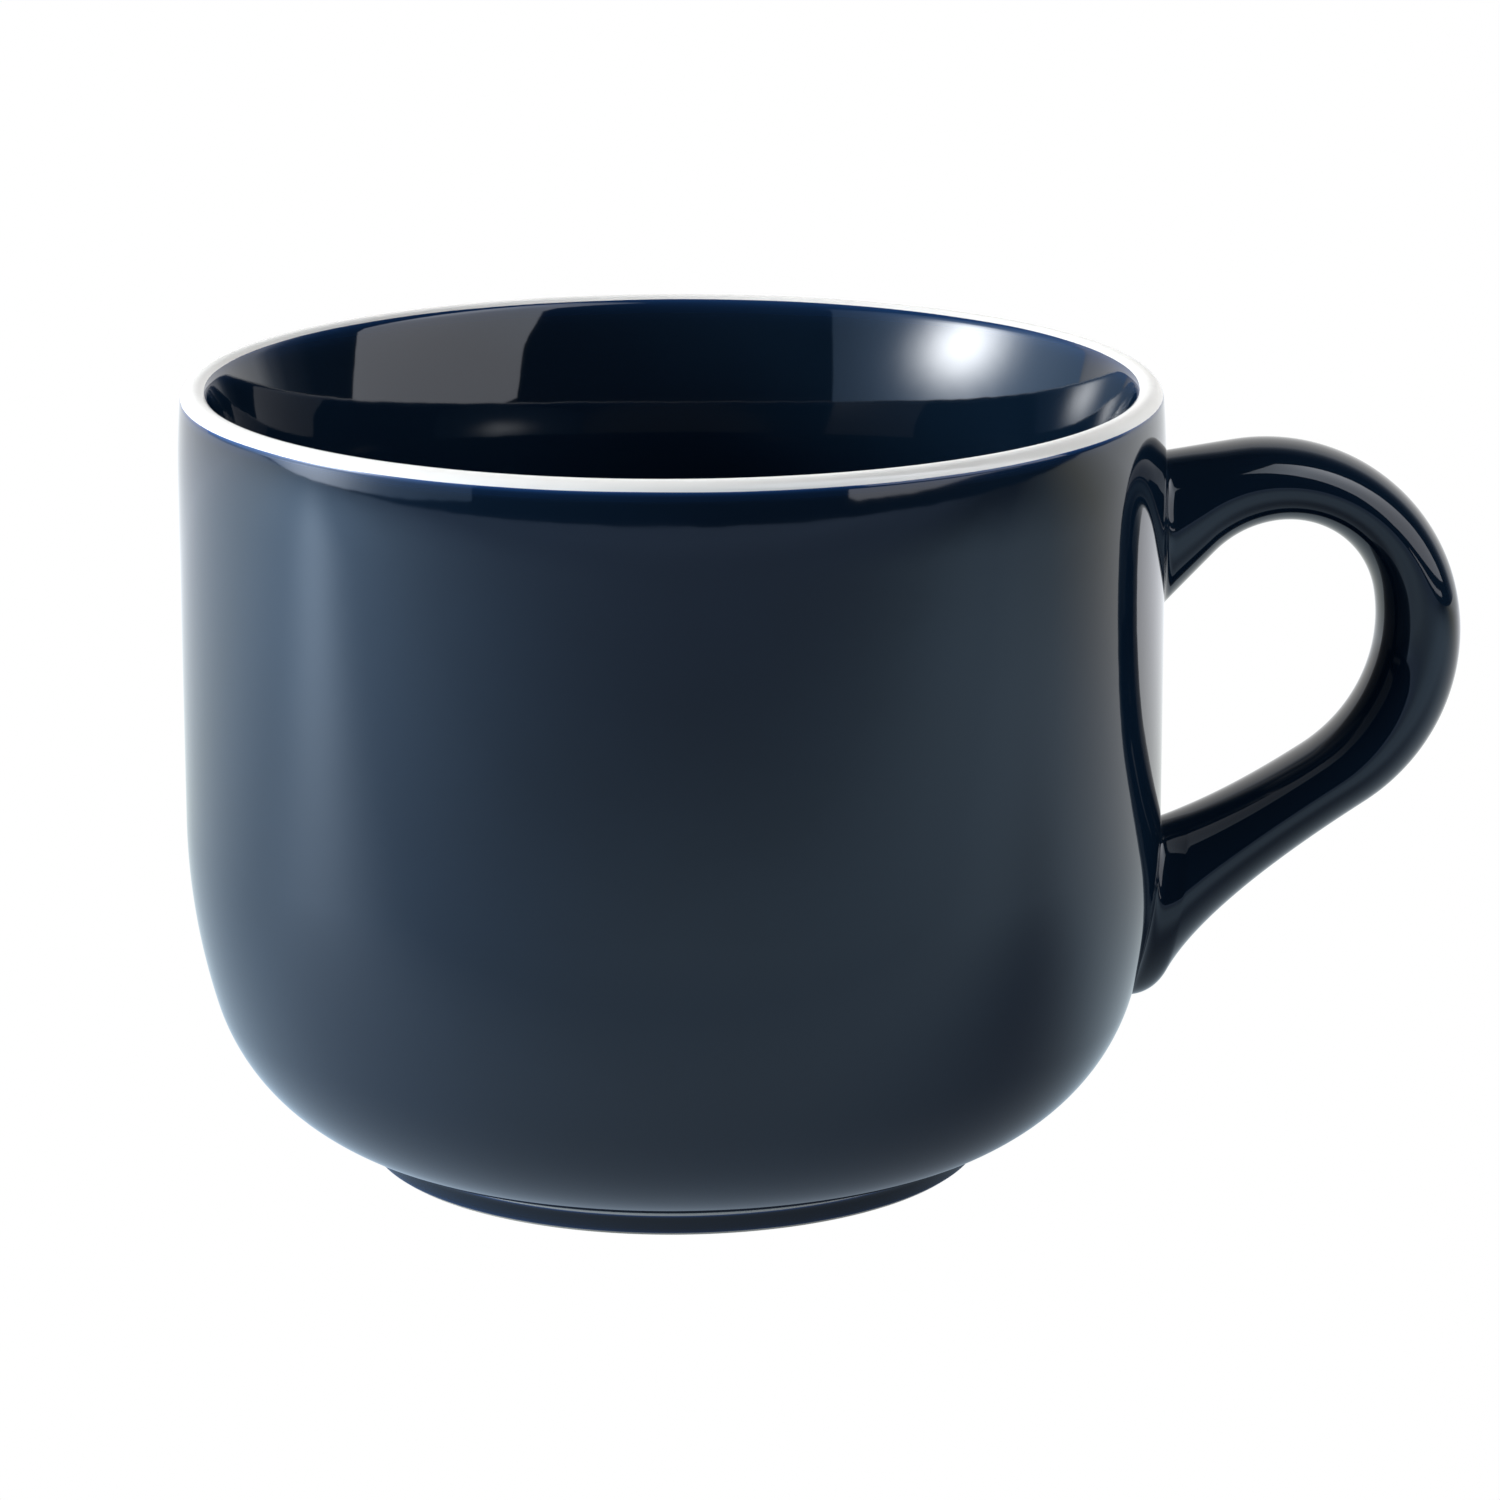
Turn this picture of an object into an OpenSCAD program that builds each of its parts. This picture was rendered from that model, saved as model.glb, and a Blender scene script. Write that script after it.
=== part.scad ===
// Soup mug of glazed stoneware, in millimetres, Z up.
// The bowl and its foot ring are one clay body, the loop handle is cast apart and luted on with slip,
// and the glaze lies over them in coats.
// The cup axis is Z, the foot stands on Z = 0 and the handle points to +X.

/* [Cup] */
// Diameter over the glazed wall
cup_d = 120; // [112:1:128]
// Height of the lip above the table
cup_h = 96.5; // [94:0.5:104]
// Thickness of the wall with both of its glaze coats
wall_t = 8; // [7.2:0.1:8.8]
// Thickness of the rounded lip, up to which the inside of the wall flares out
lip_t = 3.6; // [3.3:0.1:4]

/* [Bowl curve] */
// Radius of the flank, where the straight wall starts to draw in
flank_r = 80; // [76:1:84]
// Radius of the heel
heel_r = 25; // [24:0.5:26]
// Radius of the belly, between the heel and the flat base
belly_r = 43; // [41:0.5:45]
// Height of the flat base above the table, inside the foot ring
base_rise = 1.8; // [1.4:0.1:2.4]

/* [Foot ring] */
// Diameter over the glazed foot ring
foot_d = 76; // [72:1:80]
// Width of the ring's clay
foot_w = 4.6; // [4:0.1:6]
// Chamfer on both edges of the face that the mug stands on
foot_chamfer = 0.5; // [0.2:0.1:0.8]
// Height of the bare clay strip above that face
bare_h = 0.8; // [0.8:0.1:1.2]

/* [Glaze and slip] */
// Thickness of each glaze coat
glaze_t = 0.4; // [0.3:0.05:0.5]
// Depth of the white band below the lip, on the outside
band_out = 1.4; // [1.1:0.1:1.6]
// Depth of the white band below the lip, on the inside
band_in = 0.8; // [0.6:0.1:1.2]
// Thickness of the slip between the wall and the handle
slip_t = 0.8; // [0.6:0.1:1.2]

/* [Handle, outer edge] */
// Drop from the lip to the outer edge where it leaves the wall
handle_drop = 10; // [9:0.1:12]
// Length of the straight neck
neck_len = 8.3; // [7.3:0.1:9.3]
// Rise of the neck above level, in degrees
neck_rise = 7.9; // [5.9:0.1:9.9]
// Radius of the bow
bow_r = 25; // [23.8:0.1:26.2]
// Slope of the hollow tail where it meets the toe, in degrees
tail_slope = 62.7; // [59.7:0.1:65.7]
// Radius of the rounded toe at the lower root
toe_r = 4.7; // [4.1:0.1:5.3]
// Height of the toe above the table
toe_z = 17.2; // [16:0.1:19]

/* [Handle, inner edge] */
// Height of the upper root at the wall
root_h = 18.2; // [17.4:0.1:19]
// Slope of the straight throat that leaves the wall, in degrees
throat_rise = 45.6; // [42.6:0.1:48.6]
// Length of the straight throat
throat_len = 7.8; // [6.8:0.1:8.8]
// Radius in which the throat turns to the finger eye
throat_r = 12.9; // [11.9:0.1:13.9]
// Radius of the finger eye at its crown
eye_r = 11.6; // [10.8:0.1:12.4]
// Radius of the finger eye at its outer side
side_r = 19.2; // [18:0.1:20.4]
// Slope of the hollow leg where it meets the wall, in degrees
leg_slope = 19.4; // [16.4:0.1:22.4]
// Height above the table at which the leg meets the wall
leg_z = 40; // [38.5:0.1:41.5]

/* [Handle, section] */
// Width of the handle across its loop
handle_w = 14; // [12:0.5:16]
// Extra width where the handle meets the wall
root_flare = 2; // [1:0.1:3]

/* [Hidden] */
cup_r = cup_d / 2;
lip_r = lip_t / 2;
lip_c = [cup_r - lip_r, cup_h - lip_r];
// The wall's normal where the inner flare meets the lip, and the flare's arc, which leaves the wall upright
flare_end = [-24 / 25, 7 / 25];
flare_r = (wall_t - lip_r * (1 - flare_end[0])) / (1 + flare_end[0]);
flare_c = lip_c - (flare_r - lip_r) * flare_end;
// The wall's normal where the flank meets the heel, and where the heel meets the belly
flank_end = [24 / 25, -7 / 25];
heel_end = [7 / 25, -24 / 25];
flank_z = base_rise + belly_r - (flank_r - heel_r) * flank_end[1] - (heel_r - belly_r) * heel_end[1];
flank_c = [cup_r - flank_r, flank_z];
heel_c = flank_c + (flank_r - heel_r) * flank_end;
belly_c = heel_c + (heel_r - belly_r) * heel_end;
// Radii of the foot ring's clay, and the height in the middle of the wall at which the ring ends
foot_out = foot_d / 2 - glaze_t;
foot_in = foot_out - foot_w;
foot_mid = foot_out - foot_w / 2;
foot_top = belly_c[1] - sqrt(pow(belly_r - lip_r, 2) - pow(foot_out - belly_c[0], 2));
// Reach of the cutting areas past what they cut, and reach of an arc's area beside its chord
past = 2;
bowl_side = heel_r / 2;
flare_side = lip_r * 0.9;

// Turns of both handle edges along the bow's crown and side, and their heading after it, in degrees
crown_turn = 80 + neck_rise;
side_turn = 67.6;
bow_end = neck_rise - crown_turn - side_turn;
// Share of the leg that lies across from the tail, the rest lying across from the toe
leg_share = 0.85;
// Length of the level root outside the wall, and its length inside, where the wall cuts it off
root_out = 1.2;
root_in = 16;
// Points round the section, and steps along both halves of the neck, the crown, side, tail and toe
ring_n = 24;
steps = [4, 4, 10, 10, 10, 6];
neck_n = steps[0] + steps[1];
tail_n = steps[4];
toe_n = steps[5];

clay = [0.87, 0.83, 0.76];
slip = [0.8, 0.75, 0.67];
navy = [0.06, 0.1, 0.17];
white = [0.94, 0.93, 0.9];
$fn = 180;

// Area on both sides of the chord from p to q, as far as the arc of radius r about c that bulges past it
module bulge(c, r, p, q, side) {
  out = [p[1] - q[1], q[0] - p[0]] * side / norm(q - p);
  intersection() {
    translate(c) circle(r);
    polygon([p - out, q - out, q + out, p + out]);
  }
}

// Area from the axis out to the wall's outer curve moved inwards by inset, as far up as top
module bowl_area(inset, top) {
  wall_end = [cup_r - inset, flank_z];
  heel_start = flank_c + (flank_r - inset) * flank_end;
  belly_start = heel_c + (heel_r - inset) * heel_end;
  base_start = [belly_c[0], base_rise + inset];
  polygon([[0, base_start[1]], base_start, belly_start, heel_start, wall_end,
    [cup_r - inset, top], [0, top]]);
  bulge(flank_c, flank_r - inset, wall_end, heel_start, bowl_side);
  bulge(heel_c, heel_r - inset, heel_start, belly_start, bowl_side);
  bulge(belly_c, belly_r - inset, belly_start, base_start, bowl_side);
}

// Section of the cup with skin taken off both faces of its wall, without the foot ring
module wall_area(skin) {
  face = cup_r - skin;
  flare_z = flare_c[1];
  flare_low = [cup_r - wall_t + skin, flare_z];
  flare_top = lip_c + (lip_r - skin) * flare_end;
  difference() {
    bowl_area(skin, flare_z);
    bowl_area(wall_t - skin, flare_z + past);
  }
  polygon([flare_low, [face, flare_z], [face, lip_c[1]], lip_c, flare_top]);
  bulge(flare_c, flare_r - skin, flare_low, flare_top, flare_side);
  intersection() {
    translate(lip_c) circle(lip_r - skin);
    polygon([for (side = [[0, 0], [1, 0], [1, 1], [-1, 1], flare_end]) lip_c + side * lip_t]);
  }
}

// Section of the clay, with the foot ring
module clay_area() {
  wall_area(glaze_t);
  polygon([[foot_in + foot_chamfer, 0], [foot_out - foot_chamfer, 0], [foot_out, foot_chamfer],
    [foot_out, foot_top], [foot_in, foot_top], [foot_in, foot_chamfer]]);
}

// Section of all the glaze on the cup
module coat_area() {
  difference() {
    union() {
      wall_area(0);
      translate([foot_in - glaze_t, bare_h]) square([foot_w + 2 * glaze_t, foot_top - bare_h]);
    }
    clay_area();
  }
}

// Area over the lip that belongs to the white band
module band_area() {
  translate([lip_c[0] - lip_t, cup_h - band_in]) square([lip_t, band_in + past]);
  translate([lip_c[0], cup_h - band_out]) square([lip_t, band_out + past]);
}

// Area inside the foot ring, below the bowl
module recess_area() {
  square([foot_mid, foot_top]);
}

// Turns a section about the cup axis, with its seam on the side away from the handle
module turned() {
  rotate([0, 0, 180]) rotate_extrude() children();
}

// Place and heading [x, z, heading] at the share t of a run from s; a run is [radius, turn] or [length, 0]
function along(s, run, t) = run[1] == 0
  ? [s[0] + run[0] * t * cos(s[2]), s[1] + run[0] * t * sin(s[2]), s[2]]
  : let (side = sign(run[1]), h = s[2] + run[1] * t)
    [s[0] + side * run[0] * (sin(h) - sin(s[2])), s[1] - side * run[0] * (cos(h) - cos(s[2])), h];

// Points of an edge that starts at s and follows the runs one after the other
function edge(s, runs, i = 0) = i == len(runs)
  ? [[s[0], s[1]]]
  : concat(
    [for (k = [0 : steps[i] - 1]) let (q = along(s, runs[i], k / steps[i])) [q[0], q[1]]],
    edge(along(s, runs[i], 1), runs, i + 1));

// Radius of the glazed wall at a height
function wall_x(z) = z > flank_z ? cup_r
  : z > heel_c[1] + heel_r * flank_end[1] ? flank_c[0] + sqrt(pow(flank_r, 2) - pow(z - flank_z, 2))
  : heel_c[0] + sqrt(pow(heel_r, 2) - pow(z - heel_c[1], 2));

// Place beside the wall from which a level root runs in, at a height
function root_at(z) = [wall_x(z) + root_out, z];

function cross2(p, q) = p[0] * q[1] - p[1] * q[0];
function heading(h) = [cos(h), sin(h)];

// Curve from p to q that leaves p with the heading g and arrives at q with the heading h
function bend(p, q, g, h, t) =
  let (m = p + heading(g) * cross2(q - p, heading(h)) / cross2(heading(g), heading(h)))
  pow(1 - t, 2) * p + 2 * t * (1 - t) * m + pow(t, 2) * q;

upper_z = cup_h - handle_drop;
outer_bow = edge(concat(root_at(upper_z), neck_rise),
  [[neck_len / 2, 0], [neck_len / 2, 0], [bow_r, -crown_turn], [bow_r, -side_turn]]);
inner_bow = edge(concat(root_at(upper_z - root_h), throat_rise),
  [[throat_len, 0], [throat_r, neck_rise - throat_rise], [eye_r, -crown_turn], [side_r, -side_turn]]);
bow_k = len(outer_bow) - 1;
last_k = bow_k + tail_n + toe_n;
// The toe turns level at its root, so it is set back from there
toe_start = [0, 0, tail_slope - 180];
toe_back = along(toe_start, [toe_r, -tail_slope], 1);
tail_end = root_at(toe_z) - [toe_back[0], toe_back[1]];
leg_end = root_at(leg_z);
outer_edge = concat(
  outer_bow,
  [for (k = [1 : tail_n]) bend(outer_bow[bow_k], tail_end, bow_end, toe_start[2], k / tail_n)],
  [for (k = [1 : toe_n]) let (q = along(toe_start, [toe_r, -tail_slope], k / toe_n))
    tail_end + [q[0], q[1]]]);
// Shares of the leg's length at its points
leg_t = concat(
  [for (k = [1 : tail_n]) leg_share * k / tail_n],
  [for (k = [1 : toe_n]) leg_share + (1 - leg_share) * k / toe_n]);
inner_edge = concat(
  inner_bow,
  [for (t = leg_t) bend(inner_bow[bow_k], leg_end, bow_end, leg_slope - 180, t)]);
// Share of the root flare at each point of the edges: all of it at the wall, none along the bow
flare = concat(
  [for (k = [0 : neck_n - 1]) pow(1 - k / neck_n, 2)],
  [for (k = [neck_n + 1 : bow_k]) 0],
  [for (k = [0 : tail_n - 1]) pow(k / tail_n, 2)],
  [for (k = [0 : toe_n]) 1]);

// Oval section between a point of the outer and one of the inner edge, with skin taken off all round
function ring(o, i, wide, skin) =
  let (c = (o + i) / 2, reach = (o - i) / 2, a = reach * (1 - skin / norm(reach)), b = wide / 2 - skin)
  [for (n = [0 : ring_n - 1]) let (u = 360 * n / ring_n, p = c + a * cos(u)) [p[0], b * sin(u), p[1]]];

function edge_ring(k, skin) = ring(outer_edge[k], inner_edge[k], handle_w + root_flare * flare[k], skin);

// A ring moved level into the wall
function sunk(row) = [for (p = row) p - [root_out + root_in, 0, 0]];

// All the rings from inside the wall at the upper root to inside the wall at the lower root
function rings(skin) = concat(
  [sunk(edge_ring(0, skin))],
  [for (k = [0 : last_k]) edge_ring(k, skin)],
  [sunk(edge_ring(last_k, skin))]);

// Triangles between two loops of points, whose first points have the numbers a and b
function band(a, b) = [for (n = [0 : ring_n - 1]) let (m = (n + 1) % ring_n)
  each [[a + n, b + n, b + m], [a + n, b + m, a + m]]];

// Solid through a row of rings
module loft(rows) {
  last = (len(rows) - 1) * ring_n;
  polyhedron(
    [for (row = rows) each row],
    concat(
      [for (k = [0 : len(rows) - 2]) each band(k * ring_n, (k + 1) * ring_n)],
      [[for (n = [0 : ring_n - 1]) n]],
      [[for (n = [ring_n - 1 : -1 : 0]) last + n]]));
}

// Tube between two rows of rings, one outside the other
module tube(outside, inside) {
  count = len(outside) * ring_n;
  last = count - ring_n;
  polyhedron(
    concat([for (row = outside) each row], [for (row = inside) each row]),
    concat(
      [for (k = [0 : len(outside) - 2]) each band(k * ring_n, (k + 1) * ring_n)],
      [for (k = [0 : len(inside) - 2]) each band(count + (k + 1) * ring_n, count + k * ring_n)],
      band(count, 0),
      band(last, count + last)));
}

// Clay of a level root, where it passes through the glaze and the slip
module root(k) {
  row = edge_ring(k, glaze_t);
  translate([cup_r - root_in, 0, 0]) rotate([90, 0, 90])
    linear_extrude(root_in + root_out) polygon([for (p = row) [p[1], p[2]]]);
}

// Space that the slip takes up all over the wall
module slip_space() {
  turned() difference() {
    bowl_area(glaze_t - slip_t, lip_c[1]);
    bowl_area(glaze_t, lip_c[1] + past);
  }
}

module cup_body() {
  color(clay) turned() clay_area();
}

module handle() {
  color(clay) difference() {
    loft(rings(glaze_t));
    turned() bowl_area(glaze_t - slip_t, lip_c[1]);
  }
}

module upper_slip_joint() {
  color(slip) intersection() {
    slip_space();
    root(0);
  }
}

module lower_slip_joint() {
  color(slip) intersection() {
    slip_space();
    root(last_k);
  }
}

module outer_glaze() {
  color(navy) difference() {
    turned() difference() {
      coat_area();
      bowl_area(lip_r, cup_h + past);
      band_area();
      recess_area();
    }
    root(0);
    root(last_k);
  }
}

module inner_glaze() {
  color(navy) turned() difference() {
    intersection() {
      coat_area();
      bowl_area(lip_r, cup_h + past);
    }
    band_area();
  }
}

module rim_glaze() {
  color(white) turned() intersection() {
    coat_area();
    band_area();
  }
}

module base_glaze() {
  color(navy) turned() difference() {
    intersection() {
      coat_area();
      recess_area();
    }
    bowl_area(lip_r, cup_h + past);
  }
}

module handle_glaze() {
  color(navy) difference() {
    tube(rings(0), rings(glaze_t));
    turned() bowl_area(0, lip_c[1]);
  }
}

cup_body();
handle();
upper_slip_joint();
lower_slip_joint();
outer_glaze();
inner_glaze();
rim_glaze();
base_glaze();
handle_glaze();
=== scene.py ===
"""Soup mug of glazed stoneware: its looks, light and camera, in the frame of the CAD model.

Sections are worked out in millimetres and become meshes in metres. The cup axis is Z, the foot stands on
Z = 0 and the handle points to +X.
"""

import bpy
import numpy as np
from mathutils import Matrix, Vector


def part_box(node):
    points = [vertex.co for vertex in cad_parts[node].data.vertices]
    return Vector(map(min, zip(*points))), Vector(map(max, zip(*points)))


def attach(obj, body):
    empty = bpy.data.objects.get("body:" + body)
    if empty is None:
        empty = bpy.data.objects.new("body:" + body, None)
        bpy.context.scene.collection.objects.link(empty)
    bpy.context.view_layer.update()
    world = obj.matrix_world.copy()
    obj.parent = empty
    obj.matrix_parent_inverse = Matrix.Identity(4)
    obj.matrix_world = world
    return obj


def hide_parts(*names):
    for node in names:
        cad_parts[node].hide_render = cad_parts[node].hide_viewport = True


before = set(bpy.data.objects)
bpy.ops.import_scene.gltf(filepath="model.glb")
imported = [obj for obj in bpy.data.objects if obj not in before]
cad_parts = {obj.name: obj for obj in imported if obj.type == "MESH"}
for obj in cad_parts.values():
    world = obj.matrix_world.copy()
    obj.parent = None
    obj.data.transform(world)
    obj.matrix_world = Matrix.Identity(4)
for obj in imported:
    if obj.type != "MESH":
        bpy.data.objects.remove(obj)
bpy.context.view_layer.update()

MM = 0.001

# Cup, as the frame has it
cup_r = -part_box("outer_glaze")[0][0] / MM
cup_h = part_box("rim_glaze")[1][2] / MM
glaze_t = 0.4

# Lip, with the outer wall leaning in to it and the inner wall flaring out to it
lip_r = 1.75
lean_r = 107.0
lean_z = cup_h - 10.9
flare_r = 66.0
flare_z = cup_h - 23.7

# Bowl: radius and the direction, in degrees, in which each arc ends
flank_r, flank_end = 80.0, np.degrees(np.arcsin(-7 / 25))
heel_r, heel_end = 25.0, np.degrees(np.arcsin(-24 / 25))
belly_r = 43.0
base_z = 1.8
floor_z = 9.8

# Foot ring
foot_r = 38.0
foot_w = 4.6
foot_chamfer = 0.25
foot_fillet = 1.6
bare_h = 0.35
bead_r = 0.25
# How far out from the foot's wall two pale lines lie on the glaze, and how wide these are
pale_gaps, pale_w = (0.7, 0.4), 0.3

# White band: depth of its edges below the lip along the section, how far they wander, and how far from
# them the meshes follow
band_out = 2.15
band_in = 1.3
band_waver, waver_reach = 0.04, 1.5

# Handle, outer edge
neck_z, neck_rise, neck_len = 86.33, 7.9, 9.51
bow_r, crown_turn, side_turn = 25.0, 87.9, 67.6
tail_slope, toe_r, toe_z = 62.7, 4.7, 17.2
# Handle, inner edge
throat_z, throat_rise, throat_len, throat_r = 67.07, 45.6, 9.52, 12.9
eye_r, side_r, leg_slope, leg_z = 11.6, 19.2, 19.4, 40.0
# Handle, section, and the hollow fillets at its roots: at the inner edge, the side and the outer edge
handle_w, root_flare = 14.0, 2.0
upper_fillets, lower_fillets = (1.0, 1.7, 0.4), (0.9, 1.7, 0.8)
# Gap in which the lower root ends before the wall, and length of both roots in the wall. The wall that they
# can meet starts by a margin above the table, and ends by a margin above the start of its lean.
root_gap, root_reach, root_margin = 1.2, 5.0, 5.0
handle_steps = (12, 12, 36, 36, 40, 14)
leg_share = 0.85

# Stage, in metres: the table, the left soft box with its hot spot, and the right one that leans over the
# cup. It is turned round the cup with the camera, as the handle points a little away from the camera.
table_r = 0.9
left_x, left_front, left_back, left_top = -0.9, -0.9, 0.8, 0.95
hot_y = -0.075
right_x, right_lean = 0.92, 0.82
stage_turn = np.radians(-4.5)

# Camera: lens and sensor in millimetres, place in metres and angles in radians
lens, sensor = 144.85, 36
camera_y, camera_z = -0.720, 0.2378
camera_yaw, camera_pitch, camera_roll = -0.01303, -0.2551, -0.00125

# Fineness of the meshes: points round the cup and the handle, steps along the handle, its fillets and its
# sunk roots, and distance between the rows of a section
AROUND = 240
ROUND_HANDLE = 96
ALONG_HANDLE = 170
ALONG_FILLET = 10
ALONG_ROOT = 10
DENSE = 0.02


# Sections

def unit(angle):
    """Direction of an angle in degrees."""
    return np.array([np.cos(np.radians(angle)), np.sin(np.radians(angle))])


def arc(centre, radius, start, end, hollow=False):
    """Rows of point and normal along an arc of a section. A hollow arc has its normals to its centre."""
    count = int(abs(np.radians(end - start)) * radius / DENSE) + 2
    angles = np.radians(np.linspace(start, end, count))
    out = np.stack([np.cos(angles), np.sin(angles)], axis=1)
    return np.hstack([np.asarray(centre) + radius * out, -out if hollow else out])


def line(p, q, normal):
    """Rows of point and normal along a straight stretch of a section."""
    p, q = np.asarray(p, float), np.asarray(q, float)
    t = np.linspace(0, 1, int(np.linalg.norm(q - p) / DENSE) + 2)[:, None]
    return np.hstack([p + (q - p) * t, np.tile(np.asarray(normal, float), (len(t), 1))])


def section(*runs):
    """Rows of distance, point and normal along a section that follows the runs."""
    rows = np.vstack(runs)
    step = np.hypot(*np.diff(rows[:, :2], axis=0).T)
    rows = rows[np.concatenate([[True], step > 1e-9])]
    return np.column_stack([np.concatenate([[0], np.cumsum(step[step > 1e-9])]), rows])


def at(sec, s):
    """Point and normal of a section at distances s, in the last axis."""
    return np.stack([np.interp(s, sec[:, 0], sec[:, k]) for k in range(1, 5)], axis=-1)


def spaced(sec, start, end, reach=1.2, turn=0.06):
    """Distances from start to end along a section, closer together where it bends."""
    s = np.linspace(start, end, 4000)
    bend = np.linalg.norm(np.diff(at(sec, s)[:, 2:], axis=0), axis=1)
    cost = np.concatenate([[0], np.cumsum(np.diff(s) / reach + bend / turn)])
    return np.interp(np.linspace(0, cost[-1], int(np.ceil(cost[-1])) + 1), cost, s)


# Centres of the arcs, and the direction in which the outer wall reaches the lip

lean_end = np.degrees(np.arcsin((cup_h - lip_r - lean_z) / (lean_r - lip_r)))
lip_c = np.array([cup_r - lean_r, lean_z]) + (lean_r - lip_r) * unit(lean_end)
flank_z = (base_z + belly_r - (flank_r - heel_r) * unit(flank_end)[1]
           - (heel_r - belly_r) * unit(heel_end)[1])
flank_c = np.array([cup_r - flank_r, flank_z])
heel_c = flank_c + (flank_r - heel_r) * unit(flank_end)
belly_c = heel_c + (heel_r - belly_r) * unit(heel_end)


def outer_section():
    """Glazed outside of the cup, from the crest of the lip to the glaze's edge at the foot."""
    fillet_x = foot_r + foot_fillet
    fillet_z = belly_c[1] - np.sqrt((belly_r + foot_fillet) ** 2 - (fillet_x - belly_c[0]) ** 2)
    belly_end = np.degrees(np.arctan2(fillet_z - belly_c[1], fillet_x - belly_c[0]))
    return section(
        arc(lip_c, lip_r, 90, lean_end),
        arc((cup_r - lean_r, lean_z), lean_r, lean_end, 0),
        line((cup_r, lean_z), (cup_r, flank_z), (1, 0)),
        arc(flank_c, flank_r, 0, flank_end),
        arc(heel_c, heel_r, flank_end, heel_end),
        arc(belly_c, belly_r, heel_end, belly_end),
        arc((fillet_x, fillet_z), foot_fillet, belly_end + 180, 180, hollow=True),
        line((foot_r, fillet_z), (foot_r, bare_h + bead_r), (1, 0)),
        arc((foot_r - bead_r, bare_h + bead_r), bead_r, 0, -90))


def inner_section():
    """Glazed inside of the cup, from the crest of the lip to the middle of its floor."""
    reach = flare_r - lip_r
    flare_c = lip_c + np.array([np.sqrt(reach ** 2 - (lip_c[1] - flare_z) ** 2), flare_z - lip_c[1]])
    flare_end = np.degrees(np.arctan2(*(lip_c - flare_c)[::-1]))
    wall_t = cup_r - (flare_c[0] - flare_r)
    inner_z = floor_z - base_z
    rise = flank_c[1] + inner_z - wall_t
    shift = np.array([0, rise - flank_c[1]])
    return section(
        arc(lip_c, lip_r, 90, flare_end),
        arc(flare_c, flare_r, flare_end, 180),
        line((cup_r - wall_t, flare_z), (cup_r - wall_t, rise), (-1, 0)),
        arc(flank_c + shift, flank_r - wall_t, 0, flank_end, hollow=True),
        arc(heel_c + shift, heel_r - wall_t, flank_end, heel_end, hollow=True),
        arc(belly_c + shift, belly_r - wall_t, heel_end, -90, hollow=True),
        line((belly_c[0], floor_z), (0, floor_z), (0, 1)))


def base_section():
    """Glazed recess inside the foot ring, from the glaze's edge to the middle of the base."""
    wall_x = foot_r - foot_w - 2 * glaze_t
    fillet_x = wall_x - foot_fillet / 2
    fillet_z = belly_c[1] - np.sqrt((belly_r + foot_fillet / 2) ** 2 - (fillet_x - belly_c[0]) ** 2)
    belly_end = np.degrees(np.arctan2(fillet_z - belly_c[1], fillet_x - belly_c[0]))
    return section(
        arc((wall_x + bead_r, bare_h + bead_r), bead_r, -90, -180),
        line((wall_x, bare_h + bead_r), (wall_x, fillet_z), (-1, 0)),
        arc((fillet_x, fillet_z), foot_fillet / 2, 0, belly_end + 180, hollow=True),
        arc(belly_c, belly_r, belly_end, -90),
        line((belly_c[0], base_z), (0, base_z), (0, -1)))


def clay_section(outer, inner):
    """Clay under the glaze, from the middle of the base over the foot and the lip to the inner floor."""
    clay_r = foot_r - glaze_t
    ring_top = base_z + 2 * glaze_t
    skin = [np.hstack([sec[:, 1:3] - glaze_t * sec[:, 3:], sec[:, 3:]]) for sec in (outer, inner)]
    wall = skin[0][outer[:, 2] > base_z + foot_fillet]
    chamfer = unit(-45)
    return section(
        line((0, base_z + glaze_t), (clay_r - foot_w, base_z + glaze_t), (0, -1)),
        line((clay_r - foot_w, base_z + glaze_t), (clay_r - foot_w, foot_chamfer), (-1, 0)),
        line((clay_r - foot_w, foot_chamfer), (clay_r - foot_w + foot_chamfer, 0), -chamfer * (1, -1)),
        line((clay_r - foot_w + foot_chamfer, 0), (clay_r - foot_chamfer, 0), (0, -1)),
        line((clay_r - foot_chamfer, 0), (clay_r, foot_chamfer), chamfer),
        line((clay_r, foot_chamfer), (clay_r, ring_top), (1, 0)),
        wall[::-1],
        skin[1])


# Meshes

def turned(sec, places, shift=0.0, capped=False):
    """Points, normals and faces of a section turned about the cup axis, capped if it ends on the axis."""
    turn = 2 * np.pi * np.arange(AROUND) / AROUND
    rows = at(sec, places[:, None] + shift * np.ones(AROUND))
    spin = np.stack([np.cos(turn), np.sin(turn)], axis=-1)
    points = np.concatenate([rows[..., :1] * spin, rows[..., 1:2]], axis=-1)
    normals = np.concatenate([rows[..., 2:3] * spin, rows[..., 3:4]], axis=-1)
    count = len(places) - capped
    a = (np.arange(count - 1)[:, None] * AROUND + np.arange(AROUND)).ravel()
    b = (np.arange(count - 1)[:, None] * AROUND + np.roll(np.arange(AROUND), -1)).ravel()
    faces = np.stack([a, a + AROUND, b + AROUND, b], axis=1)
    points, normals = points.reshape(-1, 3), normals.reshape(-1, 3)
    faces = [tuple(f) for f in faces.tolist()]
    if capped:
        last, keep = (count - 1) * AROUND, count * AROUND + 1
        points, normals = points[:keep], normals[:keep]
        faces += [(last + k, keep - 1, last + (k + 1) % AROUND) for k in range(AROUND)]
    return facing(points, normals, faces)


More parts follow.
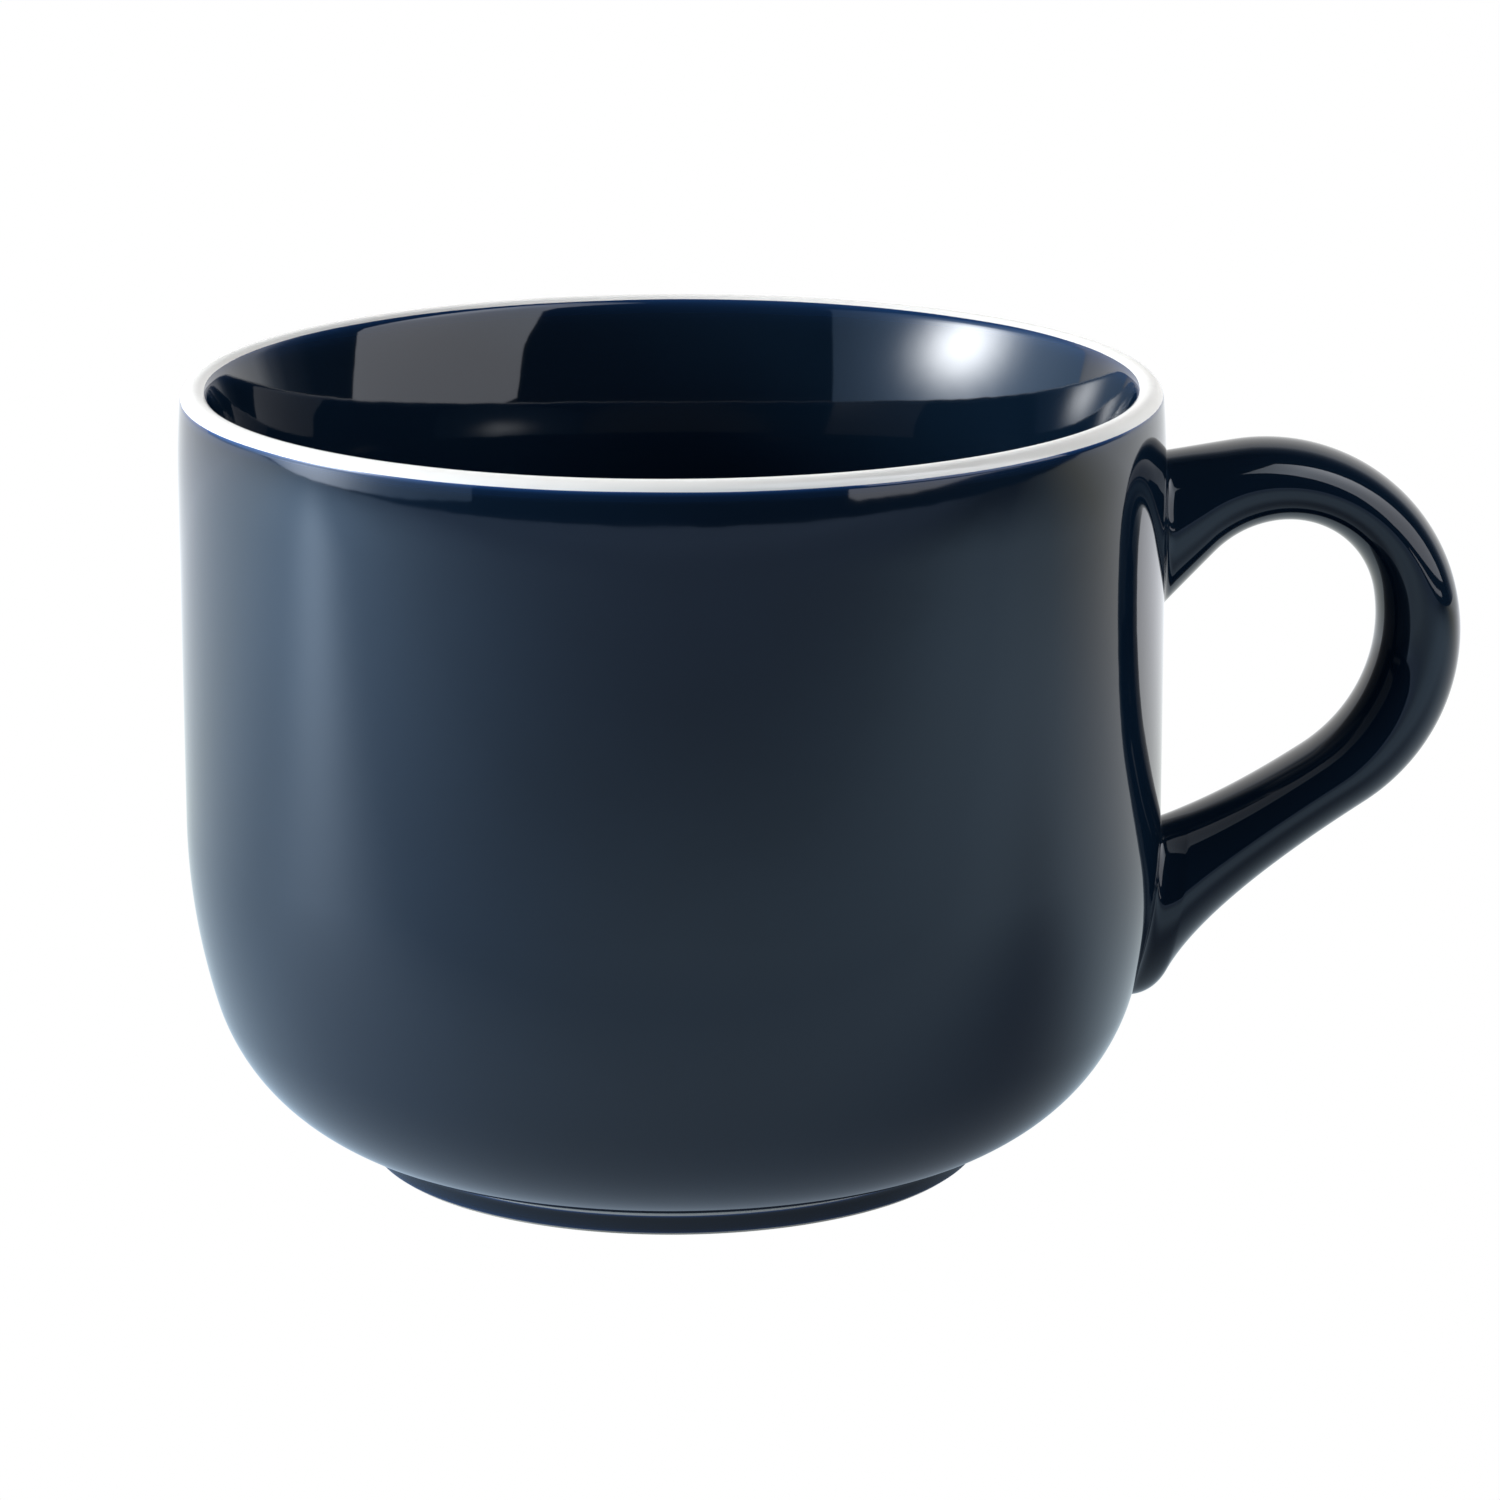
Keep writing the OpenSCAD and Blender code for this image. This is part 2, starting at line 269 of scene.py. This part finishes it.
def facing(points, normals, faces):
    """The same mesh with its faces turned to the side that their normals point to."""
    middle = faces[len(faces) // 2]
    a, b, c = points[list(middle[:3])]
    if np.cross(b - a, c - b) @ normals[middle[0]] < 0:
        faces = [f[::-1] for f in faces]
    return points, normals, faces


def shell(points, normals, faces):
    """Closed coat with the given outside."""
    count = len(points)
    edges = {(f[k - 1], f[k]) for f in faces for k in range(len(f))}
    rims = [(b, a, a + count, b + count) for a, b in sorted(edges) if (b, a) not in edges]
    inside = [tuple(v + count for v in f[::-1]) for f in faces]
    points = np.vstack([points, points - glaze_t * normals])
    return points, np.vstack([normals, -normals]), faces + inside + rims


def piece(name, mesh, material, node, thin=None):
    """Object of a mesh in millimetres for a CAD node, with the glaze's thinness at each point."""
    points, normals, faces = mesh
    data = bpy.data.meshes.new(name)
    data.from_pydata((points * MM).tolist(), [], faces)
    data.shade_smooth()
    data.normals_split_custom_set_from_vertices(normals.tolist())
    share = np.zeros(len(points)) if thin is None else np.resize(thin, len(points))
    data.attributes.new("thin", "FLOAT", "POINT").data.foreach_set("value", share.astype(np.float32))
    data.materials.append(material)
    obj = bpy.data.objects.new(name, data)
    bpy.context.scene.collection.objects.link(obj)
    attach(obj, "root")
    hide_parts(node)


def waver(seed):
    """How far an edge of the white band wanders round the cup."""
    rng = np.random.default_rng(seed)
    turn = 2 * np.pi * np.arange(AROUND) / AROUND
    waves = [np.sin(n * turn + rng.uniform(0, 2 * np.pi)) / np.sqrt(n) for n in (2, 3, 5, 8, 13, 21)]
    return band_waver * np.sum(waves, axis=0)


def follow(places, edge, wander):
    """Shift of each point of a turned mesh that carries its edge along with a wandering one."""
    return np.exp(-np.abs(places - edge) / waver_reach)[:, None] * wander


def thinness(places, share, reach, *edges, power=1):
    """Share by which the glaze thins at its edges, fading over a reach, at each point of a turned mesh."""
    fades = [share * np.exp(-(np.abs(places - edge) / reach) ** power) for edge in edges]
    return np.repeat(sum(fades), AROUND)


# Handle

def walk(start, heading, *runs):
    """Points of an edge of the handle. A run has steps, a length or radius, and a turn in degrees or 0."""
    points = [np.asarray(start, float)]
    for steps, size, turn in runs:
        here = points[-1]
        for t in np.linspace(0, 1, steps + 1)[1:]:
            if turn:
                swing = unit(heading + turn * t) - unit(heading)
                points.append(here + np.sign(turn) * size * np.array([swing[1], -swing[0]]))
            else:
                points.append(here + size * t * unit(heading))
        heading += turn
    return np.array(points)


def bend(p, q, start, end, share):
    """Points at shares of a curve from p to q that leaves p and arrives at q with the given headings."""
    g, h = unit(start), unit(end)
    mid = p + g * np.cross(q - p, h) / np.cross(g, h)
    t = share[:, None]
    return (1 - t) ** 2 * p + 2 * t * (1 - t) * mid + t ** 2 * q


def handle_edges():
    """Outer and inner edge of the handle, point against point, and the share of the root flare at each."""
    root, neck, crown, side, tail, toe = handle_steps
    outer = walk((cup_r, neck_z), neck_rise, (root, neck_len / 2, 0), (neck, neck_len / 2, 0),
                 (crown, bow_r, -crown_turn), (side, bow_r, -side_turn))
    inner = walk((cup_r, throat_z), throat_rise, (root, throat_len, 0),
                 (neck, throat_r, neck_rise - throat_rise),
                 (crown, eye_r, -crown_turn), (side, side_r, -side_turn))
    bow_end = neck_rise - crown_turn - side_turn
    toe_end = np.array([heel_c[0] + np.sqrt(heel_r ** 2 - (toe_z - heel_c[1]) ** 2) + root_gap, toe_z])
    toe_run = walk((0, 0), tail_slope - 180, (toe, toe_r, -tail_slope))
    tail_end = toe_end - toe_run[-1]
    share = np.linspace(0, 1, tail + 1)[1:]
    tail_run = bend(outer[-1], tail_end, bow_end, tail_slope - 180, share)
    outer = np.vstack([outer, tail_run, tail_end + toe_run[1:]])
    leg_end = np.array([cup_r + root_gap, leg_z])
    share = np.concatenate([leg_share * share, np.linspace(leg_share, 1, toe + 1)[1:]])
    inner = np.vstack([inner, bend(inner[-1], leg_end, bow_end, leg_slope - 180, share)])
    flare = np.concatenate([np.linspace(1, 0, root + neck + 1)[:-1] ** 2, np.zeros(crown + side),
                            np.linspace(0, 1, tail + 1) ** 2, np.ones(toe)])
    return outer, inner, flare


def sunk(outer, inner, flare):
    """The edges with both roots lengthened into the wall."""
    steps = np.linspace(0, root_reach, ALONG_ROOT + 1)[1:, None]
    leg = (inner[-1] - inner[-2]) / np.linalg.norm(inner[-1] - inner[-2])
    level = np.array([-1.0, 0.0])
    outer = np.vstack([(outer[0] - steps * unit(neck_rise))[::-1], outer, outer[-1] + steps * level])
    inner = np.vstack([(inner[0] + steps * level)[::-1], inner, inner[-1] + steps * leg])
    ends = np.ones(len(steps))
    return outer, inner, np.concatenate([ends, flare, ends])


def wall_place(sec, points):
    """Turn about the axis, distance along the section and height above the wall of points near the wall."""
    rz = np.stack([np.hypot(points[..., 0], points[..., 1]), points[..., 2]], axis=-1)
    coarse = sec[::5]
    near = np.argmin(np.sum((rz[..., None, :] - coarse[:, 1:3]) ** 2, axis=-1), axis=-1)
    row = coarse[near]
    off = rz - row[..., 1:3]
    along = row[..., 0] + off[..., 0] * row[..., 4] - off[..., 1] * row[..., 3]
    return np.stack([np.arctan2(points[..., 1], points[..., 0]), along,
                     np.sum(off * row[..., 3:], axis=-1)], axis=-1)


def wall_point(sec, place):
    """Point and normal in space of places on or above the wall."""
    row = at(sec, place[..., 1])
    spin = np.stack([np.cos(place[..., 0]), np.sin(place[..., 0])], axis=-1)
    normal = np.concatenate([row[..., 2:3] * spin, row[..., 3:4]], axis=-1)
    foot = np.concatenate([row[..., :1] * spin, row[..., 1:2]], axis=-1)
    return foot + place[..., 2:] * normal, normal


def root_fillet(sec, column, out, size):
    """Where a column of handle points that runs into the wall has to stop, and the fillet from there on.

    out is the column's direction away from the middle of the handle. The fillet comes as points and wall
    normals.
    """
    place = wall_place(sec, column)
    k = int(np.argmax(place[:, 2] < 0))
    t = place[k - 1, 2] / (place[k - 1, 2] - place[k, 2])
    hit = place[k - 1] + (place[k] - place[k - 1]) * t
    length = np.concatenate([[0], np.cumsum(np.linalg.norm(np.diff(column, axis=0), axis=1))])
    stop = np.interp(length[k - 1] + (length[k] - length[k - 1]) * t - size, length, np.arange(len(column)))
    start = np.array([np.interp(stop, np.arange(len(column)), place[:, n]) for n in range(3)])
    row = at(sec, hit[1])
    across = -out[0] * np.sin(hit[0]) + out[1] * np.cos(hit[0])
    down = (out[0] * np.cos(hit[0]) + out[1] * np.sin(hit[0])) * row[3] - out[2] * row[2]
    reach = size / np.hypot(across, down)
    end = hit + np.array([across * reach / row[0], down * reach, 0])
    hit[2] = 0
    t = np.linspace(0, 1, ALONG_FILLET + 1)[1:, None]
    points, normals = wall_point(sec, (1 - t) ** 2 * start + 2 * t * (1 - t) * hit + t ** 2 * end)
    return stop, points, normals


def fillet_size(sizes, turn):
    """Size of a root fillet at a turn round the handle, between those at its inner, side and outer edge."""
    inner, side, outer = sizes
    end = outer if np.cos(turn) > 0 else inner
    return side + (end - side) * np.cos(turn) ** 2


def handle_mesh(sec):
    """Glazed outside of the handle, with fillets that run out on the wall."""
    outer, inner, flare = sunk(*handle_edges())
    mid, half = (outer + inner) / 2, (outer - inner) / 2
    wide = (handle_w + root_flare * flare) / 2
    thick = np.linalg.norm(half, axis=1)
    last, zone = len(mid) - 1, sum(handle_steps[:3])
    columns, ends = [], []
    for turn in 2 * np.pi * np.arange(ROUND_HANDLE) / ROUND_HANDLE:
        flat = mid + half * np.cos(turn)
        column = np.stack([flat[:, 0], wide * np.sin(turn), flat[:, 1]], axis=-1)
        out = half / thick[:, None] ** 2 * np.cos(turn)
        out = np.stack([out[:, 0], np.sin(turn) / wide, out[:, 1]], axis=-1)
        out /= np.linalg.norm(out, axis=1)[:, None]
        begin, top, top_n = root_fillet(sec, column[:zone][::-1], out[ALONG_ROOT],
                                        fillet_size(upper_fillets, turn))
        cease, low, low_n = root_fillet(sec, column[-zone:], out[-ALONG_ROOT - 1],
                                        fillet_size(lower_fillets, turn))
        k = np.linspace(zone - 1 - begin, last - zone + 1 + cease, ALONG_HANDLE)
        run = np.stack([np.interp(k, np.arange(last + 1), column[:, n]) for n in range(3)], axis=-1)
        columns.append(np.vstack([top[::-1], run, low]))
        ends.append((top_n[-1], low_n[-1]))
    grid = np.stack(columns, axis=1)
    along = np.gradient(grid, axis=0)
    across = np.roll(grid, -1, axis=1) - np.roll(grid, 1, axis=1)
    normals = np.cross(across, along)
    normals /= np.linalg.norm(normals, axis=-1)[..., None]
    centre = grid.mean(axis=1, keepdims=True)
    normals *= np.sign(np.sum(normals * (grid - centre), axis=-1)[len(grid) // 2, 0])
    normals[0], normals[-1] = np.array(ends)[:, 0], np.array(ends)[:, 1]
    rows, n = len(grid), ROUND_HANDLE
    a = (np.arange(rows - 1)[:, None] * n + np.arange(n)).ravel()
    b = (np.arange(rows - 1)[:, None] * n + np.roll(np.arange(n), -1)).ravel()
    faces = [tuple(f) for f in np.stack([a, b, b + n, a + n], axis=1).tolist()]
    return facing(grid.reshape(-1, 3), normals.reshape(-1, 3), faces)


# Materials

def new_material(name):
    """A new material, its node tree and its shader."""
    mat = bpy.data.materials.new(name)
    mat.use_nodes = True
    tree = mat.node_tree
    return mat, tree, tree.nodes["Principled BSDF"]


def add(tree, kind, values=None, **settings):
    """A new node with its settings and its inputs' values, where a value may be another node's output."""
    node = tree.nodes.new(kind)
    for key, value in settings.items():
        setattr(node, key, value)
    for key, value in (values or {}).items():
        if isinstance(value, bpy.types.NodeSocket):
            tree.links.new(value, node.inputs[key])
        else:
            node.inputs[key].default_value = value
    return node


def noise(tree, place, scale, detail=3.0, roughness=0.55):
    """Noise at a scale in waves a metre."""
    values = {"Vector": place, "Scale": scale, "Detail": detail, "Roughness": roughness}
    return add(tree, "ShaderNodeTexNoise", values).outputs["Fac"]


def ramp(tree, fac, *stops):
    """Colours between stops of place and colour."""
    node = add(tree, "ShaderNodeValToRGB", {"Fac": fac})
    elements = node.color_ramp.elements
    while len(elements) < len(stops):
        elements.new(0.5)
    for element, (place, colour) in zip(elements, stops):
        element.position, element.color = place, (*colour, 1)
    return node.outputs["Color"]


def mixed(tree, fac, a, b):
    """Colour a with colour b over it by a share."""
    node = add(tree, "ShaderNodeMix", data_type="RGBA")
    for socket, value in ((node.inputs[0], fac), (node.inputs[6], a), (node.inputs[7], b)):
        if isinstance(value, bpy.types.NodeSocket):
            tree.links.new(value, socket)
        else:
            socket.default_value = value if isinstance(value, float) else (*value, 1)
    return node.outputs[2]


def spread(tree, fac, low, high):
    """A share from 0 to 1 spread over the range from low to high."""
    return add(tree, "ShaderNodeMapRange", {"Value": fac, "To Min": low, "To Max": high}).outputs["Result"]


def bump(tree, shader, height, strength, depth):
    """Lets a height move the shader's normal."""
    values = {"Height": height, "Strength": strength, "Distance": depth}
    tree.links.new(add(tree, "ShaderNodeBump", values).outputs["Normal"], shader.inputs["Normal"])


def navy_material():
    """Deep glossy navy glaze, bluer where it thins out and turning pale in two lines near the foot, with a
    few pin specks.
    """
    mat, tree, shader = new_material("navy_glaze")
    place = add(tree, "ShaderNodeTexCoord").outputs["Object"]
    depth = ramp(tree, noise(tree, place, 34),
                 (0.3, (0.0024, 0.0074, 0.0155)), (0.7, (0.0032, 0.0094, 0.0195)))
    thin = add(tree, "ShaderNodeAttribute", attribute_name="thin").outputs["Fac"]
    colour = mixed(tree, thin, depth, (0.018, 0.066, 0.2))
    # Where the thin share goes past 1 the colour turns pale, which makes the two lines near the foot.
    pale_share = add(tree, "ShaderNodeMath", {0: thin, 1: 1.0}, operation="SUBTRACT").outputs[0]
    colour = mixed(tree, pale_share, colour, (0.62, 0.57, 0.49))
    cells = add(tree, "ShaderNodeTexVoronoi", {"Vector": place, "Scale": 260.0})
    speck = ramp(tree, cells.outputs["Distance"], (0.02, (1, 1, 1)), (0.035, (0, 0, 0)))
    chance = ramp(tree, cells.outputs["Color"], (0.93, (0, 0, 0)), (0.95, (1, 1, 1)))
    dot = add(tree, "ShaderNodeMath", {0: speck, 1: chance}, operation="MULTIPLY").outputs[0]
    tree.links.new(mixed(tree, dot, colour, (0.05, 0.07, 0.1)), shader.inputs["Base Color"])
    tree.links.new(spread(tree, noise(tree, place, 90), 0.02, 0.06), shader.inputs["Roughness"])
    shader.inputs["IOR"].default_value = 1.5
    bump(tree, shader, noise(tree, place, 130, detail=2.0, roughness=0.5), 0.04, 0.0004)
    return mat


def white_material():
    """Glossy warm white glaze."""
    mat, tree, shader = new_material("white_glaze")
    place = add(tree, "ShaderNodeTexCoord").outputs["Object"]
    tone = ramp(tree, noise(tree, place, 70), (0.3, (0.84, 0.785, 0.70)), (0.7, (0.89, 0.84, 0.755)))
    tree.links.new(tone, shader.inputs["Base Color"])
    tree.links.new(spread(tree, noise(tree, place, 120), 0.05, 0.12), shader.inputs["Roughness"])
    shader.inputs["IOR"].default_value = 1.5
    bump(tree, shader, noise(tree, place, 260, detail=2.0), 0.08, 0.0003)
    return mat


def clay_material(name, dark, light):
    """Bare fired clay with fine grain."""
    mat, tree, shader = new_material(name)
    place = add(tree, "ShaderNodeTexCoord").outputs["Object"]
    grain = noise(tree, place, 1800, detail=4.0)
    cloud = ramp(tree, noise(tree, place, 60), (0.3, dark), (0.7, light))
    tree.links.new(mixed(tree, spread(tree, grain, 0.0, 0.25), cloud, dark), shader.inputs["Base Color"])
    tree.links.new(spread(tree, grain, 0.7, 0.95), shader.inputs["Roughness"])
    bump(tree, shader, grain, 0.35, 0.0003)
    return mat


# The mug

outer, inner, base = outer_section(), inner_section(), base_section()
clay = clay_section(outer, inner)
navy, white = navy_material(), white_material()
stoneware = clay_material("stoneware", (0.50, 0.43, 0.33), (0.66, 0.59, 0.48))
slip = clay_material("slip", (0.46, 0.40, 0.31), (0.58, 0.52, 0.42))


def build_outer_glaze():
    """Navy coat outside, from the white band to the foot."""
    end = outer[-1, 0]
    places = spaced(outer, band_out, end, turn=0.03)
    mesh = turned(outer, places, follow(places, band_out, waver(1)))
    low = outer[outer[:, 2] < base_z + 2 * foot_fillet]
    # Two pale lines near the foot, where the thin share is raised past 1.
    lines = [low[np.argmax(low[:, 1] < foot_r + gap), 0] for gap in pale_gaps]
    thin = thinness(places, 1.0, 0.25, band_out, end) + thinness(places, 2.5, pale_w, *lines, power=2)
    piece("outer_glaze_skin", shell(*mesh), navy, "outer_glaze", thin)


def build_inner_glaze():
    """Navy coat inside, from the white band to the middle of the floor."""
    places = spaced(inner, band_in, inner[-1, 0])
    mesh = turned(inner, places, follow(places, band_in, waver(2)), capped=True)
    thin = thinness(places, 0.5, 0.75, band_in)[:len(mesh[0])]
    piece("inner_glaze_skin", shell(*mesh), navy, "inner_glaze", thin)


def build_rim_glaze():
    """White band over the lip."""
    lip = section(inner[inner[:, 0] < 2 * band_in][::-1, 1:], outer[outer[:, 0] < 2 * band_out][:, 1:])
    crest = inner[inner[:, 0] < 2 * band_in][-1, 0]
    start, end = crest - band_in, crest + band_out
    places = spaced(lip, start, end, reach=0.2)
    shift = follow(places, start, -waver(2)) + follow(places, end, waver(1))
    piece("rim_glaze_skin", shell(*turned(lip, places, shift)), white, "rim_glaze")


def build_base_glaze():
    """Navy coat in the recess under the base."""
    places = spaced(base, 0, base[-1, 0])
    mesh = turned(base, places, capped=True)
    thin = thinness(places, 1.0, 0.25, 0)[:len(mesh[0])]
    piece("base_glaze_skin", shell(*mesh), navy, "base_glaze", thin)


def build_cup():
    """Clay of the cup, which shows at the foot ring."""
    places = spaced(clay, 0, clay[-1, 0], reach=2.0, turn=0.1)
    points, normals, faces = turned(clay, places[1:], capped=True)
    first = len(points)
    faces += [(first, (k + 1) % AROUND, k) for k in range(AROUND)]
    mesh = (np.vstack([points, clay[:1, [1, 1, 2]]]), np.vstack([normals, [[0, 0, -1]]]), faces)
    piece("cup_clay", mesh, stoneware, "cup_body")


def build_handle_glaze():
    """Navy coat of the handle."""
    wall = outer[(outer[:, 2] > root_margin) & (outer[:, 2] < lean_z + root_margin)]
    piece("handle_glaze_skin", shell(*handle_mesh(wall)), navy, "handle_glaze")


def dress_nodes():
    """Clay for the CAD nodes that stay under the glaze."""
    for name, material in (("handle", stoneware), ("upper_slip_joint", slip), ("lower_slip_joint", slip)):
        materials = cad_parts[name].data.materials
        materials.clear()
        materials.append(material)


# Stage, with light in units of the picture's white

def patch(tree, place, centre, size):
    """Share of light at a place, 1 at a centre and fading out over a size."""
    values = {"Vector": place, "Location": centre, "Scale": size}
    off = add(tree, "ShaderNodeMapping", values, vector_type="TEXTURE").outputs["Vector"]
    square = add(tree, "ShaderNodeVectorMath", {0: off, 1: off}, operation="DOT_PRODUCT").outputs["Value"]
    half = add(tree, "ShaderNodeMath", {0: square, 1: -0.5}, operation="MULTIPLY").outputs[0]
    return add(tree, "ShaderNodeMath", {0: half}, operation="EXPONENT").outputs[0]


def slope(tree, place, way, low, high, *stops):
    """Light that changes along a way, from low to high, between stops of distance and light."""
    value = add(tree, "ShaderNodeVectorMath", {0: place, 1: way}, operation="DOT_PRODUCT").outputs["Value"]
    values = {"Value": value, "From Min": low, "From Max": high}
    share = add(tree, "ShaderNodeMapRange", values).outputs["Result"]
    return ramp(tree, share, *[((stop - low) / (high - low), light) for stop, light in stops])


def shone(tree, light, share, extra):
    """Light with a share of extra light on it."""
    more = add(tree, "ShaderNodeVectorMath", {0: extra, "Scale": share}, operation="SCALE").outputs[0]
    return add(tree, "ShaderNodeVectorMath", {0: light, 1: more}, operation="ADD").outputs[0]


def floor_light(tree, place):
    """Painted light of the table top: dim in front and bright behind, with painted pools from both soft
    boxes and a painted shadow of the cup and handle right of the foot.
    """
    light = slope(tree, place, (0, 1, 0), -0.7, 0.35, (-0.65, (0.32, 0.42, 0.6)), (-0.4, (0.23, 0.29, 0.4)),
                  (-0.25, (0.09, 0.09, 0.08)), (-0.12, (0.07, 0.06, 0.04)), (0.0, (0.23, 0.26, 0.25)),
                  (0.15, (0.62, 0.62, 0.52)), (0.32, (1.06, 1.09, 1.11)))
    for centre, size, extra in (((-0.57, -0.05, 0), (0.29, 0.21, 1), (1.3, 1.9, 2.7)),
                                ((-0.42, -0.044, 0), (0.2, 0.034, 1), (1.25, 1.52, 1.85)),
                                ((0.3, -0.136, 0), (0.2, 0.12, 1), (0.48, 0.67, 0.85)),
                                ((0.25, 0.2, 0), (0.12, 0.12, 1), (0.4, 0.4, 0.5)),
                                ((0, -0.21, 0), (0.08, 0.06, 1), (0.1, 0.13, 0.14)),
                                # This last patch takes light away: a painted shadow of the cup and handle
                                # on the table.
                                ((0.07, -0.034, 0), (0.1, 0.024, 1), (-0.36, -0.48, -0.58))):
        light = shone(tree, light, patch(tree, place, centre, size), extra)
    return light


def left_light(tree, place):
    """Light of the left soft box, with a hot spot and some light that falls to its bottom."""
    light = (0.32, 0.5, 0.78)
    for centre, size, extra in (((left_x, 0, 0.4), (1, 0.36, 0.3), (1.25, 1.7, 2.4)),
                                ((left_x, -0.05, 0.04), (1, 0.14, 0.06), (4.2, 4.6, 5.2)),
                                ((left_x, hot_y, 0.38), (1, 0.145, 0.09), (24, 24.5, 25))):
        light = shone(tree, light, patch(tree, place, centre, size), extra)
    return light


def right_light(tree, place):
    """Light of the right soft box, brightest above the middle of its rear edge."""
    light = slope(tree, place, (0, 0, 1), 0, 1, (0.1, (1.75, 1.8, 1.95)), (0.35, (1.9, 1.95, 2.1)),
                  (0.7, (2.3, 2.5, 2.8)), (1.0, (1.2, 1.35, 1.5)))
    return shone(tree, light, patch(tree, place, (0.42, -0.03, 0.61), (0.16, 0.16, 0.16)), (2.2, 2.2, 2.3))


def panel(name, corners, light, seen=False):
    """Stage panel that gives light and no shadow; where it is seen, the camera sees it as plain white."""
    data = bpy.data.meshes.new(name)
    data.from_pydata(corners, [], [tuple(range(len(corners)))])
    mat, tree, shader = new_material(name)
    tree.nodes.remove(shader)
    place = add(tree, "ShaderNodeTexCoord").outputs["Object"]
    path = add(tree, "ShaderNodeLightPath").outputs["Is Camera Ray"]
    glow = add(tree, "ShaderNodeEmission", {"Color": light(tree, place)}).outputs[0]
    plain = add(tree, "ShaderNodeEmission", {"Color": (1, 1, 1, 1)}).outputs[0]
    mix = add(tree, "ShaderNodeMixShader", {0: path, 1: glow, 2: plain}).outputs[0]
    tree.links.new(mix, tree.nodes["Material Output"].inputs["Surface"])
    data.materials.append(mat)
    obj = bpy.data.objects.new(name, data)
    bpy.context.scene.collection.objects.link(obj)
    obj.rotation_euler = (0, 0, stage_turn)
    obj.visible_camera, obj.visible_shadow = seen, False


def stage():
    """Round pale table between two soft boxes, the right one with a bright sill under it."""
    rim = 2 * np.pi * np.arange(180) / 180
    panel("floor", [(table_r * np.cos(a), table_r * np.sin(a), 0) for a in rim], floor_light, seen=True)
    edge = [(left_front, 0), (left_back, 0), (left_back, left_top), (left_front, left_top)]
    panel("left_box", [(left_x, y, z) for y, z in edge], left_light)
    edge = [(-0.66, 1.0), (-0.645, 0.42), (-0.76, 0.24), (-0.6, 0.18), (-0.4, 0.15), (0.13, 0.1),
            (-0.17, 0.86)]
    panel("right_box", [(right_x - right_lean * z, y, z) for y, z in edge], right_light)
    panel("right_sill", [(0.535, -0.67, 0.042), (0.555, -0.645, 0.034), (0.84, -0.1, 0.041),
                         (0.84, -0.1, 0.065), (0.535, -0.67, 0.065)], right_light)


def surroundings():
    """Dark studio in front and a white backdrop behind, all white to the camera."""
    world = bpy.data.worlds.new("studio")
    world.use_nodes = True
    tree = world.node_tree
    seen = add(tree, "ShaderNodeTexCoord").outputs["Generated"]
    back = Matrix.Rotation(stage_turn, 3, "Z") @ Vector((0, 1, 0))
    shade = slope(tree, seen, back, 0, 1, (0.3, (0.012, 0.013, 0.015)), (0.48, (0.09, 0.11, 0.14)),
                  (0.57, (0.3, 0.34, 0.4)), (0.66, (0.9, 0.94, 1.0)), (0.82, (1.1, 1.1, 1.1)))
    path = add(tree, "ShaderNodeLightPath").outputs["Is Camera Ray"]
    tree.links.new(mixed(tree, path, shade, (1.0, 1.0, 1.0)), tree.nodes["Background"].inputs["Color"])
    bpy.context.scene.world = world


def lamp():
    """Soft lamp behind the left soft box, which shines on the mug without showing in its gloss."""
    data = bpy.data.lights.new("left_lamp", "SUN")
    data.energy, data.angle = 0.65 * np.pi, np.radians(20)
    obj = bpy.data.objects.new("left_lamp", data)
    way = Matrix.Rotation(stage_turn, 3, "Z") @ Vector((left_x, hot_y, 0.3))
    obj.rotation_euler = way.to_track_quat("Z", "Y").to_euler()
    obj.visible_glossy = False
    bpy.context.scene.collection.objects.link(obj)


def camera():
    """Camera at the photograph's viewing angle."""
    data = bpy.data.cameras.new("camera")
    data.lens, data.sensor_width = lens, sensor
    obj = bpy.data.objects.new("camera", data)
    turn = Matrix.Rotation(stage_turn, 3, "Z")
    obj.location = turn @ Vector((0, camera_y, camera_z))
    aim = turn @ Matrix.Rotation(camera_yaw, 3, "Z") @ Matrix.Rotation(np.pi / 2 + camera_pitch, 3, "X")
    obj.rotation_euler = (aim @ Matrix.Rotation(camera_roll, 3, "Z")).to_euler()
    bpy.context.scene.collection.objects.link(obj)
    bpy.context.scene.camera = obj
    bpy.context.scene.view_settings.view_transform = "Standard"


build_outer_glaze()
build_inner_glaze()
build_rim_glaze()
build_base_glaze()
build_cup()
build_handle_glaze()
dress_nodes()
stage()
surroundings()
lamp()
camera()
